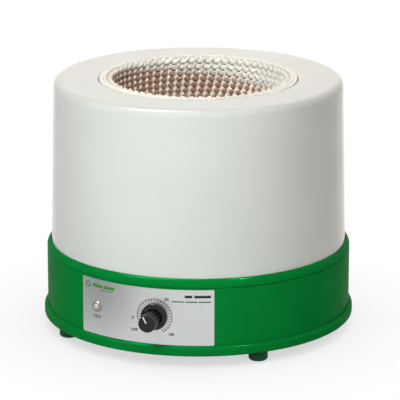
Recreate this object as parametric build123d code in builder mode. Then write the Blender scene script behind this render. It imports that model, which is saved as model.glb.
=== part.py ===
from build123d import *
import os
from math import cos, radians, sin, sqrt

# A heating mantle for a two litre round flask: a white spun shell with a knitted glass
# yarn pocket in its top, on a round green base that holds the power control.
#
# The frame: +Z up, the origin on the table under the middle of the pocket, and the
# control panel facing -Y. An angle round the mantle is in degrees from the front,
# positive towards +X. Every length is in millimetres.

os.makedirs("parts", exist_ok=True)

# ---------------------------------------------------------------- driving dimensions

# The pocket for the flask.
pocket_radius = 86.5
knit_thickness = 3.5
tape_gap = 0.2
tape_width = 3.2
tape_thickness = 1.4
tape_count = 13
tape_step = 6.1  # degrees between two turns of the heating tape
liner_thickness = 1.2

# The white upper shell, spun from one sheet.
shell_sheet = 1.5
shell_top = 249.0
shell_top_radius = 142.4
shell_joint_radius = 146.6
shell_shoulder = 7.3
shell_flange_radius = 132.0
mouth_radius = 98.3
mouth_bend = 1.6
mouth_lip_bottom = 242.0
shell_seam = 241.0

# The soft roll round the pocket's mouth.
roll_outer_radius = 98.0
roll_inner_radius = 86.7
roll_bottom = 243.5
roll_top = 249.8
roll_corner = 3.0

# The green base.
base_radius = 150.9
wall_sheet = 2.0
wall_top = 77.9
wall_edge_round = 1.0
collar_sheet = 1.5
collar_side_top = 80.3
collar_top = 86.7
collar_bore = 147.0
tray_radius = 154.5
tray_sheet = 2.0
tray_rim_top = 21.0
tray_rim_round = 3.5
tray_bottom_round = 1.5

# The four feet and the posts that stand over them.
foot_radius = 9.35
foot_height = 11.1
foot_ring = 140.0
foot_round = 2.8
foot_angles = {"front_right": 45, "rear_right": 135, "rear_left": 225, "front_left": 315}
head_radius = 3.9
head_height = 2.6
screw_radius = 2.0
screw_clearance = 0.2
foot_head_bottom = 3.1
post_across_flats = 8.0

# The control panel, a thin plate curved round the front of the base.
panel_thickness = 0.6
panel_left = -26.45
panel_right = 26.5
panel_bottom = 21.35
panel_top = 76.75
panel_corner = 1.0

# The power control.
knob_angle = 4.74
knob_height = 49.0
knob_gap = 1.0
skirt_radius = 12.9
skirt_edge = 2.6
grip_start = 4.2
grip_root_radius = 9.0
grip_face_radius = 8.5
grip_face = 25.5
flute_count = 16
flute_radius = 1.35
flute_ring = 9.25
flute_lift = 1.3
pointer_angle = -27.0
dial_radius = 17.5
dial_line = 0.5
dial_print = 0.12
dial_first = -106.0
dial_last = 149.0
dial_steps = 24
tick_length = 3.3

# The heating lamp.
lamp_angle = -19.04
lamp_height = 49.6
bezel_radius = 5.25

# The mains inlet, in the back of the base.
inlet_angle = 180.0
inlet_height = 49.0

# ---------------------------------------------------------------- derived dimensions

panel_radius = base_radius + panel_thickness
tray_floor = foot_height + tray_sheet
wall_inner_radius = base_radius - wall_sheet
collar_plate_top = wall_top + collar_sheet
shell_flange_top = collar_plate_top + shell_sheet
shield_sheet = 1.0
shield_top = shell_flange_top + shield_sheet
pocket_centre = shell_top - 1.0
tape_ring = pocket_radius + knit_thickness + tape_gap + tape_thickness / 2
liner_inner = tape_ring + tape_thickness / 2 + tape_gap
liner_outer = liner_inner + liner_thickness
screw_hole = screw_radius + screw_clearance


def wall_plane(angle, height, radius):
    """A plane that faces straight out: x to the right, y up, z outwards."""
    turn = radians(angle)
    return Plane(
        origin=(radius * sin(turn), -radius * cos(turn), height),
        x_dir=(cos(turn), sin(turn), 0),
        z_dir=(sin(turn), -cos(turn), 0),
    )


def turning_plane(plane):
    """The plane of a half profile turned about a plane's z: x is radius, y is height."""
    return Plane(origin=plane.origin, x_dir=plane.x_dir, z_dir=-plane.y_dir)


def centre_line(plane):
    """The axis through a plane's origin, along its z."""
    return Axis(plane.origin, plane.z_dir)


def clock_point(radius, clock):
    """The point of the dial at a radius, clock degrees clockwise from the top."""
    return (radius * sin(radians(clock)), radius * cos(radians(clock)))


def foot_point(angle, height):
    """The point over a foot at one height."""
    turn = radians(angle)
    return (foot_ring * sin(turn), -foot_ring * cos(turn), height)


def pocket_point(radius, dip):
    """The point of the pocket's half section at a radius, dip degrees under its mouth."""
    return (radius * cos(radians(dip)), pocket_centre - radius * sin(radians(dip)))


def half_width(radius, height):
    """The half width, at one height, of a sphere about the pocket's centre."""
    return sqrt(radius**2 - (pocket_centre - height) ** 2)


def save(block, label):
    """Labels a finished piece and writes it as one STEP file."""
    block.part.label = label
    export_step(block.part, f"parts/{label}.step")


# ---------------------------------------------------------------- upper shell

# The sheet's middle line, from the flange under the base's collar up the tapered
# side, round the shoulder, across the top and down the lip of the mouth. The top and
# the side are two spun parts, welded at the seam under the shoulder.
half_sheet = shell_sheet / 2
with BuildPart() as whole_shell:
    with BuildSketch(Plane.XZ) as shell_section:
        with BuildLine() as shell_line:
            FilletPolyline(
                (shell_flange_radius, shell_flange_top - half_sheet),
                (shell_joint_radius - half_sheet, shell_flange_top - half_sheet),
                (shell_top_radius - half_sheet, shell_top - half_sheet),
                (mouth_radius + half_sheet, shell_top - half_sheet),
                (mouth_radius + half_sheet, mouth_lip_bottom),
                radius=(1.25, shell_shoulder - half_sheet, mouth_bend),
            )
        trace(line_width=shell_sheet)
    revolve(axis=Axis.Z)
    with Locations(*(foot_point(angle, shell_flange_top) for angle in foot_angles.values())):
        Hole(screw_hole, depth=2 * shell_sheet)
for shell_name, kept_side in {"shell_top": Keep.TOP, "shell_side": Keep.BOTTOM}.items():
    with BuildPart() as shell_piece:
        add(whole_shell.part)
        split(bisect_by=Plane.XY.offset(shell_seam), keep=kept_side)
    save(shell_piece, shell_name)

# ---------------------------------------------------------------- green collar ring

with BuildPart() as collar_ring:
    with BuildSketch(Plane.XZ) as collar_section:
        with BuildLine() as collar_outline:
            foot_edge = 0.7
            side = Line((base_radius, wall_top + foot_edge), (base_radius, collar_side_top))
            TangentArc(side @ 1, (collar_bore, collar_top), tangent=(0, 1))
            Polyline(
                (collar_bore, collar_top),
                (collar_bore, collar_plate_top),
                (shell_flange_radius, collar_plate_top),
                (shell_flange_radius, wall_top),
                (base_radius - foot_edge, wall_top),
                side @ 0,
            )
        make_face()
    revolve(axis=Axis.Z)
    with Locations(*(foot_point(angle, collar_plate_top) for angle in foot_angles.values())):
        Hole(screw_hole, depth=2 * collar_sheet)
save(collar_ring, "collar_ring")

# ---------------------------------------------------------------- base wall

knob_hole = 5.0
lamp_hole = 4.1
inlet_cut_width = 20.6
inlet_cut_height = 28.1
with BuildPart() as base_wall:
    with BuildSketch(Plane.XY.offset(tray_floor)) as wall_outline:
        Circle(base_radius)
        Circle(wall_inner_radius, mode=Mode.SUBTRACT)
    extrude(amount=wall_top - tray_floor)
    fillet(base_wall.edges().group_by(Axis.Z)[-1].sort_by(SortBy.LENGTH)[-1], wall_edge_round)
    with BuildSketch(wall_plane(knob_angle, knob_height, base_radius)) as knob_cut:
        Circle(knob_hole)
    extrude(amount=2 * wall_sheet, both=True, mode=Mode.SUBTRACT)
    with BuildSketch(wall_plane(lamp_angle, lamp_height, base_radius)) as lamp_cut:
        Circle(lamp_hole)
    extrude(amount=2 * wall_sheet, both=True, mode=Mode.SUBTRACT)
    with BuildSketch(wall_plane(inlet_angle, inlet_height, base_radius)) as inlet_cut:
        RectangleRounded(inlet_cut_width, inlet_cut_height, 1.5)
    extrude(amount=2 * wall_sheet, both=True, mode=Mode.SUBTRACT)
save(base_wall, "base_wall")

# ---------------------------------------------------------------- bottom tray

vent_count = 20
vent_ring = 105.0
vent_length = 28.0
vent_width = 4.0
board_holes = (100.0, 70.0)
board_screw = 1.5
earth_point = (20.0, 126.0)
with BuildPart() as bottom_tray:
    with BuildSketch(Plane.XZ) as tray_section:
        with BuildLine() as tray_outline:
            rim_inner = base_radius + 0.1
            rim_side = Line(
                (tray_radius, foot_height + tray_bottom_round),
                (tray_radius, tray_rim_top - tray_rim_round),
            )
            TangentArc(rim_side @ 1, (rim_inner, tray_rim_top), tangent=(0, 1))
            Polyline(
                (rim_inner, tray_rim_top),
                (rim_inner, tray_floor),
                (0, tray_floor),
                (0, foot_height),
                (tray_radius - tray_bottom_round, foot_height),
            )
            TangentArc((tray_radius - tray_bottom_round, foot_height), rim_side @ 0, tangent=(1, 0))
        make_face()
    revolve(axis=Axis.Z)
    with BuildSketch(Plane.XY.offset(foot_height)) as tray_openings:
        with PolarLocations(vent_ring, vent_count, start_angle=180 / vent_count):
            SlotOverall(vent_length, vent_width)
        with Locations(*(foot_point(angle, 0)[:2] for angle in foot_angles.values())):
            Circle(screw_hole)
        with GridLocations(*board_holes, 2, 2):
            Circle(board_screw + screw_clearance)
        with Locations(earth_point):
            Circle(screw_hole)
    extrude(amount=tray_sheet, mode=Mode.SUBTRACT)
save(bottom_tray, "bottom_tray")

# ---------------------------------------------------------------- rubber feet

foot_bore = 4.7
for place, angle in foot_angles.items():
    foot_ground = Plane(origin=foot_point(angle, 0))
    with BuildPart() as rubber_foot:
        with BuildSketch(foot_ground) as foot_outline:
            Circle(foot_radius)
        extrude(amount=foot_height)
        fillet(rubber_foot.edges().group_by(Axis.Z)[0], foot_round)
        with BuildSketch(foot_ground) as foot_bore_outline:
            Circle(foot_bore)
        extrude(amount=foot_head_bottom + head_height, mode=Mode.SUBTRACT)
        with BuildSketch(foot_ground) as foot_hole_outline:
            Circle(screw_hole)
        extrude(amount=foot_height, mode=Mode.SUBTRACT)
    save(rubber_foot, f"rubber_foot_{place}")

# ---------------------------------------------------------------- screws and posts

foot_screw_top = 24.0
with BuildPart() as foot_screws:
    for angle in foot_angles.values():
        with BuildSketch(Plane(origin=foot_point(angle, foot_head_bottom))) as head_outline:
            Circle(head_radius)
        extrude(amount=head_height)
        with BuildSketch(Plane(origin=foot_point(angle, foot_head_bottom))) as shank_outline:
            Circle(screw_radius)
        extrude(amount=foot_screw_top - foot_head_bottom)
        with BuildSketch(Plane(origin=foot_point(angle, foot_head_bottom))) as recess_outline:
            Rectangle(4.0, 1.0)
            Rectangle(1.0, 4.0)
        extrude(amount=1.4, mode=Mode.SUBTRACT)
save(foot_screws, "foot_screws")

post_thread = screw_radius + 0.05
post_thread_depth = 14.0
with BuildPart() as support_posts:
    for angle in foot_angles.values():
        with BuildSketch(Plane(origin=foot_point(angle, tray_floor))) as post_outline:
            RegularPolygon(post_across_flats / 2, 6, major_radius=False)
        extrude(amount=wall_top - tray_floor)
    for angle in foot_angles.values():
        with BuildSketch(Plane(origin=foot_point(angle, tray_floor))) as lower_thread:
            Circle(post_thread)
        extrude(amount=post_thread_depth, mode=Mode.SUBTRACT)
        with BuildSketch(Plane(origin=foot_point(angle, wall_top))) as upper_thread:
            Circle(post_thread)
        extrude(amount=-post_thread_depth, mode=Mode.SUBTRACT)
save(support_posts, "support_posts")

shell_screw_length = 14.0
with BuildPart() as shell_screws:
    for angle in foot_angles.values():
        with BuildSketch(Plane(origin=foot_point(angle, shield_top))) as head_outline:
            Circle(head_radius)
        extrude(amount=head_height)
        with BuildSketch(Plane(origin=foot_point(angle, shield_top))) as shank_outline:
            Circle(screw_radius)
        extrude(amount=-shell_screw_length)
        with BuildSketch(Plane(origin=foot_point(angle, shield_top + head_height))) as recess_outline:
            Rectangle(4.0, 1.0)
            Rectangle(1.0, 4.0)
        extrude(amount=-1.4, mode=Mode.SUBTRACT)
save(shell_screws, "shell_screws")

# ---------------------------------------------------------------- heat shield and bush

shield_radius = 144.3
bush_radius = 8.0
bush_flange_radius = 11.0
bush_flange = 2.5
bush_bottom = shell_flange_top - 6.0
lead_spacing = 7.0
lead_radius = 1.1
lead_bore = 1.4
with BuildPart() as heat_shield:
    with BuildSketch(Plane.XY.offset(shell_flange_top)) as shield_outline:
        Circle(shield_radius)
        Circle(bush_radius + 0.1, mode=Mode.SUBTRACT)
        with Locations(*(foot_point(angle, 0)[:2] for angle in foot_angles.values())):
            Circle(screw_hole, mode=Mode.SUBTRACT)
    extrude(amount=shield_sheet)
save(heat_shield, "heat_shield")

with BuildPart() as ceramic_bush:
    with BuildSketch(Plane.XY.offset(bush_bottom)) as bush_outline:
        Circle(bush_radius)
    extrude(amount=shield_top + bush_flange - bush_bottom)
    with BuildSketch(Plane.XY.offset(shield_top)) as bush_flange_outline:
        Circle(bush_flange_radius)
    extrude(amount=bush_flange)
    with BuildSketch(Plane.XY.offset(bush_bottom)) as bush_bores:
        with GridLocations(lead_spacing, 0, 2, 1):
            Circle(lead_bore)
    extrude(amount=shield_top + bush_flange - bush_bottom, mode=Mode.SUBTRACT)
save(ceramic_bush, "ceramic_bush")

# ---------------------------------------------------------------- insulation and liner

wool_gap = 0.4
wool_inner = liner_outer + wool_gap
wool_bottom = shield_top + bush_flange + wool_gap
wool_top = 241.0
wool_foot_radius = 143.6
wool_top_radius = 139.6
lead_channel = 7.0
channel_top = pocket_centre - sqrt(wool_inner**2 - lead_channel**2)
with BuildPart() as insulation_wool:
    with BuildSketch(Plane.XZ) as wool_section:
        with BuildLine() as wool_outline:
            wool_mouth = (half_width(wool_inner, wool_top), wool_top)
            channel_mouth = (lead_channel, channel_top)
            ThreePointArc(wool_mouth, pocket_point(wool_inner, 45), channel_mouth)
            Polyline(
                channel_mouth,
                (lead_channel, wool_bottom),
                (wool_foot_radius, wool_bottom),
                (wool_top_radius, wool_top),
                wool_mouth,
            )
        make_face()
    revolve(axis=Axis.Z)
save(insulation_wool, "insulation_wool")


# ---------------------------------------------------------------- liner and knitted pocket

# The cloth over the wool, with a hole in its bottom for the leads.
liner_inner_mouth = (half_width(liner_inner, roll_bottom), roll_bottom)
liner_outer_mouth = (half_width(liner_outer, roll_bottom), roll_bottom)
liner_inner_end = (lead_channel, pocket_centre - sqrt(liner_inner**2 - lead_channel**2))
liner_outer_end = (lead_channel, pocket_centre - sqrt(liner_outer**2 - lead_channel**2))
with BuildPart() as glass_cloth_liner:
    with BuildSketch(Plane.XZ) as liner_section:
        with BuildLine() as liner_outline:
            ThreePointArc(liner_inner_mouth, pocket_point(liner_inner, 45), liner_inner_end)
            Line(liner_inner_end, liner_outer_end)
            ThreePointArc(liner_outer_end, pocket_point(liner_outer, 45), liner_outer_mouth)
            Line(liner_outer_mouth, liner_inner_mouth)
        make_face()
    revolve(axis=Axis.Z)
save(glass_cloth_liner, "glass_cloth_liner")

# The knitted yarn that the flask rests in, in three zones. Each edge between two zones
# is a pair of points, one inside and one outside, and each zone has a dip on its way.
knit_outer = pocket_radius + knit_thickness
knit_inner_mouth = (half_width(pocket_radius, roll_bottom), roll_bottom)
knit_outer_mouth = (half_width(knit_outer, roll_bottom), roll_bottom)
knit_edges = [
    (knit_inner_mouth, knit_outer_mouth),
    (pocket_point(pocket_radius, 30), pocket_point(knit_outer, 30)),
    (pocket_point(pocket_radius, 60), pocket_point(knit_outer, 60)),
    ((0, pocket_centre - pocket_radius), (0, pocket_centre - knit_outer)),
]
knit_zones = {"knit_upper": 15, "knit_middle": 45, "knit_bottom": 75}
for (zone_name, dip), start, end in zip(knit_zones.items(), knit_edges, knit_edges[1:]):
    with BuildPart() as knit_zone:
        with BuildSketch(Plane.XZ) as knit_section:
            with BuildLine() as knit_outline:
                ThreePointArc(start[0], pocket_point(pocket_radius, dip), end[0])
                Line(end[0], end[1])
                ThreePointArc(end[1], pocket_point(knit_outer, dip), start[1])
                Line(start[1], start[0])
            make_face()
        revolve(axis=Axis.Z)
    save(knit_zone, zone_name)

# ---------------------------------------------------------------- heating tape and roll

# The heater is a flat woven tape laid in level turns round the pocket's outside.
first_turn = 9.0
with BuildPart() as heating_tape:
    for turn_number in range(tape_count):
        dip = first_turn + tape_step * turn_number
        with BuildSketch(Plane.XZ) as tape_section:
            with Locations(pocket_point(tape_ring, dip)):
                Rectangle(tape_width, tape_thickness, rotation=90 - dip)
        revolve(axis=Axis.Z)
save(heating_tape, "heating_tape")

with BuildPart() as mouth_roll:
    with BuildSketch(Plane.XZ) as roll_section:
        with Locations(((roll_inner_radius + roll_outer_radius) / 2, (roll_bottom + roll_top) / 2)):
            RectangleRounded(roll_outer_radius - roll_inner_radius, roll_top - roll_bottom, roll_corner)
    revolve(axis=Axis.Z)
save(mouth_roll, "mouth_roll")

# ---------------------------------------------------------------- control panel

panel_turn = radians(panel_left)
panel_start = Plane(
    origin=(0, 0, 0),
    x_dir=(sin(panel_turn), -cos(panel_turn), 0),
    z_dir=(-cos(panel_turn), -sin(panel_turn), 0),
)
with BuildPart() as control_panel:
    with BuildSketch(panel_start) as panel_section:
        with Locations((base_radius + panel_thickness / 2, (panel_bottom + panel_top) / 2)):
            Rectangle(panel_thickness, panel_top - panel_bottom)
    revolve(axis=Axis.Z, revolution_arc=panel_right - panel_left)
    corner_edges = [edge for edge in control_panel.edges() if edge.length < 2 * panel_thickness]
    fillet(corner_edges, panel_corner)
    with BuildSketch(wall_plane(knob_angle, knob_height, base_radius)) as panel_knob_cut:
        Circle(knob_hole)
    extrude(amount=2 * wall_sheet, both=True, mode=Mode.SUBTRACT)
    with BuildSketch(wall_plane(lamp_angle, lamp_height, base_radius)) as panel_lamp_cut:
        Circle(lamp_hole)
    extrude(amount=2 * wall_sheet, both=True, mode=Mode.SUBTRACT)
save(control_panel, "control_panel")

# ---------------------------------------------------------------- printed dial

# Every part of the control is placed from the plane that touches the panel's face
# where the shaft comes out.
knob_plane = wall_plane(knob_angle, knob_height, panel_radius)
knob_section_plane = turning_plane(knob_plane)
knob_line = centre_line(knob_plane)
dial_depth = 3.0
tick_middle = dial_radius - dial_line / 2 - tick_length / 2
gap_middle = (dial_last + dial_first + 360) / 2
gap_reach = 2 * dial_radius
with BuildPart() as printed_dial:
    with BuildSketch(knob_plane.offset(-dial_depth)) as dial_outline:
        Circle(dial_radius)
        Circle(dial_radius - dial_line, mode=Mode.SUBTRACT)
        with BuildLine() as dial_gap:
            Polyline(
                (0, 0),
                clock_point(gap_reach, dial_last),
                clock_point(gap_reach, gap_middle),
                clock_point(gap_reach, dial_first),
                close=True,
            )
        make_face(mode=Mode.SUBTRACT)
        for step in range(dial_steps + 1):
            clock = dial_first + (dial_last - dial_first) * step / dial_steps
            with Locations(clock_point(tick_middle, clock)):
                Rectangle(dial_line, tick_length, rotation=-clock)
    extrude(amount=2 * dial_depth)
    Cylinder(panel_radius + dial_print, 2 * panel_top, mode=Mode.INTERSECT)
    Cylinder(panel_radius, 2 * panel_top, mode=Mode.SUBTRACT)
save(printed_dial, "printed_dial")

# ---------------------------------------------------------------- knob

recess_radius = 7.5
recess_depth = 5.0
insert_radius = 5.0
insert_end = 20.0
set_screw_height = 12.0
with BuildPart() as control_knob:
    with BuildSketch(knob_section_plane) as knob_section:
        with BuildLine() as knob_outline:
            Polyline(
                (0, insert_end),
                (0, grip_face),
                (grip_face_radius, grip_face),
                (grip_root_radius, grip_start),
                (skirt_radius - 0.4, skirt_edge + 0.4),
                (skirt_radius, skirt_edge),
                (skirt_radius, knob_gap),
                (recess_radius, knob_gap),
                (recess_radius, recess_depth),
                (insert_radius, recess_depth),
                (insert_radius, insert_end),
                close=True,
            )
        make_face()
    revolve(axis=knob_line)
    fillet(control_knob.faces().sort_by(knob_line)[-1].outer_wire().edges(), 0.8)
    with BuildSketch(knob_plane.offset(grip_start + flute_lift)) as flutes:
        with PolarLocations(flute_ring, flute_count):
            Circle(flute_radius)
    extrude(amount=grip_face, mode=Mode.SUBTRACT)
    screw_plane = Plane(
        origin=knob_plane.offset(set_screw_height).origin,
        x_dir=knob_plane.x_dir,
        z_dir=-knob_plane.y_dir,
    )
    with BuildSketch(screw_plane) as screw_cut:
        Circle(board_screw + screw_clearance)
    extrude(amount=skirt_radius, mode=Mode.SUBTRACT)
    pointer_length = 6.6
    pointer_width = 1.2
    pointer_depth = 0.5
    pointer_place = clock_point(1.1 + pointer_length / 2, pointer_angle)
    with BuildSketch(knob_plane.offset(grip_face)) as pointer_cut:
        with Locations(pointer_place):
            Rectangle(pointer_width, pointer_length, rotation=-pointer_angle)
    extrude(amount=-pointer_depth, mode=Mode.SUBTRACT)
save(control_knob, "control_knob")

# The white line fills its groove and stands a little proud of the knob's face.
pointer_proud = 0.1
with BuildPart() as knob_pointer:
    with BuildSketch(knob_plane.offset(grip_face - pointer_depth)) as pointer_outline:
        with Locations(pointer_place):
            Rectangle(pointer_width, pointer_length, rotation=-pointer_angle)
    extrude(amount=pointer_depth + pointer_proud)
save(knob_pointer, "knob_pointer")

shaft_radius = 3.0
shaft_fit = 0.04
with BuildPart() as knob_insert:
    with BuildSketch(knob_plane.offset(recess_depth)) as insert_outline:
        Circle(insert_radius - 0.02)
        Circle(shaft_radius + shaft_fit, mode=Mode.SUBTRACT)
    extrude(amount=insert_end - recess_depth)
    with BuildSketch(screw_plane) as insert_screw_cut:
        Circle(board_screw + 0.05)
    extrude(amount=skirt_radius, mode=Mode.SUBTRACT)
save(knob_insert, "knob_insert")

with BuildPart() as knob_set_screw:
    with BuildSketch(screw_plane.offset(shaft_radius + shaft_fit)) as set_screw_outline:
        Circle(board_screw)
    extrude(amount=4.5)
    with BuildSketch(screw_plane.offset(shaft_radius + shaft_fit + 4.5)) as set_screw_socket:
        RegularPolygon(0.75, 6, major_radius=False)
    extrude(amount=-1.5, mode=Mode.SUBTRACT)
save(knob_set_screw, "knob_set_screw")

# ---------------------------------------------------------------- potentiometer

# Distances out from the panel's face, along the shaft.
pot_face = -3.2
pot_plate = -5.0
pot_back = -13.5
pot_radius = 12.0
pot_bush_radius = 4.5
pot_bush_tip = 4.2
pot_can_sheet = 0.8
wafer_back = -6.5
rotor_front = -8.5
rotor_back = -10.0
shaft_tip = 19.8
shaft_back = -11.5
washer_radius = 7.2
washer_start = 0.15
nut_start = 0.75
nut_end = 2.75
terminal_width = 2.0
terminal_drop = 20.0
with BuildPart() as potentiometer_bush:
    with BuildSketch(knob_section_plane) as pot_front_section:
        with BuildLine() as pot_front_outline:
            Polyline(
                (shaft_radius + shaft_fit, pot_bush_tip),
                (pot_bush_radius - 0.3, pot_bush_tip),
                (pot_bush_radius, pot_bush_tip - 0.3),
                (pot_bush_radius, pot_face),
                (pot_radius, pot_face),
                (pot_radius, pot_plate),
                (shaft_radius + shaft_fit, pot_plate),
                close=True,
            )
        make_face()
    revolve(axis=knob_line)
save(potentiometer_bush, "potentiometer_bush")

with BuildPart() as potentiometer_can:
    with BuildSketch(knob_plane.offset(pot_back)) as can_outline:
        Circle(pot_radius)
    extrude(amount=pot_plate - pot_back)
    with BuildSketch(knob_plane.offset(pot_back + pot_can_sheet)) as can_hollow:
        Circle(pot_radius - pot_can_sheet)
    extrude(amount=pot_plate - pot_back, mode=Mode.SUBTRACT)
    with BuildSketch(knob_plane.offset(wafer_back - 0.3)) as can_notch:
        with Locations((0, -pot_radius)):
            Rectangle(14.0, 8.0)
    extrude(amount=pot_plate - wafer_back + 0.3, mode=Mode.SUBTRACT)
save(potentiometer_can, "potentiometer_can")

with BuildPart() as potentiometer_wafer:
    with BuildSketch(knob_plane.offset(wafer_back)) as wafer_outline:
        Circle(pot_radius - pot_can_sheet - 0.1)
        Circle(shaft_radius + 1.0, mode=Mode.SUBTRACT)
    extrude(amount=pot_plate - wafer_back)
    with BuildSketch(knob_plane.offset(wafer_back)) as terminals:
        with Locations((0, -(terminal_drop + pot_radius - 3) / 2)):
            with GridLocations(5.0, 0, 3, 1):
                Rectangle(terminal_width, terminal_drop - pot_radius + 3)
    extrude(amount=0.8)
save(potentiometer_wafer, "potentiometer_wafer")

with BuildPart() as potentiometer_shaft:
    with BuildSketch(knob_plane.offset(shaft_back)) as shaft_outline:
        Circle(shaft_radius)
    extrude(amount=shaft_tip - shaft_back)
    with BuildSketch(knob_plane.offset(rotor_back)) as rotor_outline:
        Circle(9.5)
    extrude(amount=rotor_front - rotor_back)
save(potentiometer_shaft, "potentiometer_shaft")

with BuildPart() as potentiometer_washer:
    with BuildSketch(knob_plane.offset(washer_start)) as washer_outline:
        Circle(washer_radius)
        Circle(pot_bush_radius + 0.15, mode=Mode.SUBTRACT)
    extrude(amount=nut_start - washer_start)
save(potentiometer_washer, "potentiometer_washer")

with BuildPart() as potentiometer_nut:
    with BuildSketch(knob_plane.offset(nut_start)) as pot_nut_outline:
        RegularPolygon(6.0, 6, major_radius=False)
        Circle(pot_bush_radius + 0.05, mode=Mode.SUBTRACT)
    extrude(amount=nut_end - nut_start)
save(potentiometer_nut, "potentiometer_nut")

# ---------------------------------------------------------------- heating lamp

lamp_plane = wall_plane(lamp_angle, lamp_height, panel_radius)
lamp_section_plane = turning_plane(lamp_plane)
lamp_line = centre_line(lamp_plane)
lamp_body_radius = 3.9
lamp_bore = 2.9
lens_radius = 3.7
lens_seat = 0.2
bezel_proud = 2.0
lamp_body_back = -12.0
lamp_nut_front = -2.85
with BuildPart() as lamp_holder:
    with BuildSketch(lamp_section_plane) as holder_section:
        with BuildLine() as holder_outline:
            Polyline(
                (lamp_bore, lamp_body_back),
                (lamp_body_radius, lamp_body_back),
                (lamp_body_radius, 0),
                (bezel_radius, 0),
                (bezel_radius, 0.9),
                (bezel_radius - 0.5, bezel_proud),
                (lens_radius + 0.1, bezel_proud),
                (lens_radius + 0.1, lens_seat),
                (lamp_bore, lens_seat),
                close=True,
            )
        make_face()
    revolve(axis=lamp_line)
save(lamp_holder, "lamp_holder")

lens_side = 1.6
lens_tip = 4.0
with BuildPart() as lamp_lens:
    with BuildSketch(lamp_section_plane) as lens_section:
        with BuildLine() as lens_outline:
            dome = ThreePointArc((0, lens_tip), (2.35, 3.35), (lens_radius, lens_side))
            Polyline(dome @ 1, (lens_radius, lens_seat), (0, lens_seat), dome @ 0)
        make_face()
    revolve(axis=lamp_line)
save(lamp_lens, "lamp_lens")

with BuildPart() as lamp_bulb:
    with BuildSketch(lamp_plane.offset(lens_seat)) as bulb_outline:
        Circle(2.5)
    extrude(amount=-10.0)
    with BuildSketch(lamp_plane.offset(lens_seat - 10.0)) as bulb_legs:
        with GridLocations(2.54, 0, 2, 1):
            Rectangle(0.6, 0.6)
    extrude(amount=-8.0)
save(lamp_bulb, "lamp_bulb")

with BuildPart() as lamp_nut:
    with BuildSketch(lamp_plane.offset(lamp_nut_front)) as lamp_nut_outline:
        RegularPolygon(5.5, 6, major_radius=False)
        Circle(lamp_body_radius + 0.05, mode=Mode.SUBTRACT)
    extrude(amount=-2.5)
save(lamp_nut, "lamp_nut")

# ---------------------------------------------------------------- mains inlet

# The inlet's plane touches the back of the wall from outside. Its z points out.
inlet_plane = wall_plane(inlet_angle, inlet_height, base_radius)
inlet_flange_size = (24.0, 31.0)
inlet_flange = 2.5
inlet_body_size = (20.0, 27.5)
inlet_body_depth = 18.0
socket_size = (17.0, 24.3)
socket_depth = 16.5
pin_length = 12.0
pin_spacing = 7.0
earth_pin_offset = 4.0
tab_length = 9.0
with BuildPart() as mains_inlet:
    with BuildSketch(inlet_plane) as inlet_flange_outline:
        RectangleRounded(*inlet_flange_size, 2.0)
    extrude(amount=inlet_flange)
    with BuildSketch(inlet_plane) as inlet_body_outline:
        RectangleRounded(*inlet_body_size, 1.0)
    extrude(amount=-inlet_body_depth)
    with BuildSketch(inlet_plane.offset(inlet_flange)) as socket_outline:
        with BuildLine() as socket_line:
            half_wide = socket_size[0] / 2
            half_tall = socket_size[1] / 2
            corner_cut = 4.5
            Polyline(
                (-half_wide, -half_tall),
                (half_wide - corner_cut, -half_tall),
                (half_wide, corner_cut - half_tall),
                (half_wide, half_tall - corner_cut),
                (half_wide - corner_cut, half_tall),
                (-half_wide, half_tall),
                close=True,
            )
        make_face()
    extrude(amount=-socket_depth, mode=Mode.SUBTRACT)
save(mains_inlet, "mains_inlet")

pin_root = inlet_flange - socket_depth
pin_places = ((-2.0, pin_spacing), (-2.0, -pin_spacing), (-2.0 + earth_pin_offset, 0.0))
with BuildPart() as inlet_pins:
    with BuildSketch(inlet_plane.offset(pin_root)) as pin_outlines:
        with Locations(*pin_places):
            Rectangle(4.0, 2.0)
    extrude(amount=pin_length)
save(inlet_pins, "inlet_pins")

with BuildPart() as inlet_tabs:
    with BuildSketch(inlet_plane.offset(-inlet_body_depth)) as tab_outlines:
        with Locations(*pin_places):
            Rectangle(4.8, 0.8)
    extrude(amount=-tab_length)
save(inlet_tabs, "inlet_tabs")

# ---------------------------------------------------------------- earth stud

earth_stud_top = 30.0
earth_nut_height = 3.2
with BuildPart() as earth_stud:
    with BuildSketch(Plane(origin=(*earth_point, foot_height - 2.0))) as stud_head:
        RegularPolygon(3.5, 6, major_radius=False)
    extrude(amount=2.0)
    with BuildSketch(Plane(origin=(*earth_point, foot_height))) as stud_shank:
        Circle(screw_radius)
    extrude(amount=earth_stud_top - foot_height)
save(earth_stud, "earth_stud")

with BuildPart() as earth_nut:
    with BuildSketch(Plane(origin=(*earth_point, tray_floor))) as earth_nut_outline:
        RegularPolygon(3.5, 6, major_radius=False)
        Circle(screw_radius + 0.05, mode=Mode.SUBTRACT)
    extrude(amount=earth_nut_height)
save(earth_nut, "earth_nut")

# ---------------------------------------------------------------- control board

standoff_height = 8.0
board_bottom = tray_floor + standoff_height
board_thickness = 1.6
board_top = board_bottom + board_thickness
board_size = (110.0, 80.0)
with BuildPart() as control_board:
    with BuildSketch(Plane.XY.offset(board_bottom)) as board_outline:
        RectangleRounded(*board_size, 3.0)
        with GridLocations(*board_holes, 2, 2):
            Circle(board_screw + screw_clearance, mode=Mode.SUBTRACT)
    extrude(amount=board_thickness)
save(control_board, "control_board")

with BuildPart() as board_standoffs:
    with BuildSketch(Plane.XY.offset(tray_floor)) as standoff_outlines:
        with GridLocations(*board_holes, 2, 2):
            RegularPolygon(2.75, 6, major_radius=False)
            Circle(board_screw + 0.05, mode=Mode.SUBTRACT)
    extrude(amount=standoff_height)
save(board_standoffs, "board_standoffs")

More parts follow.
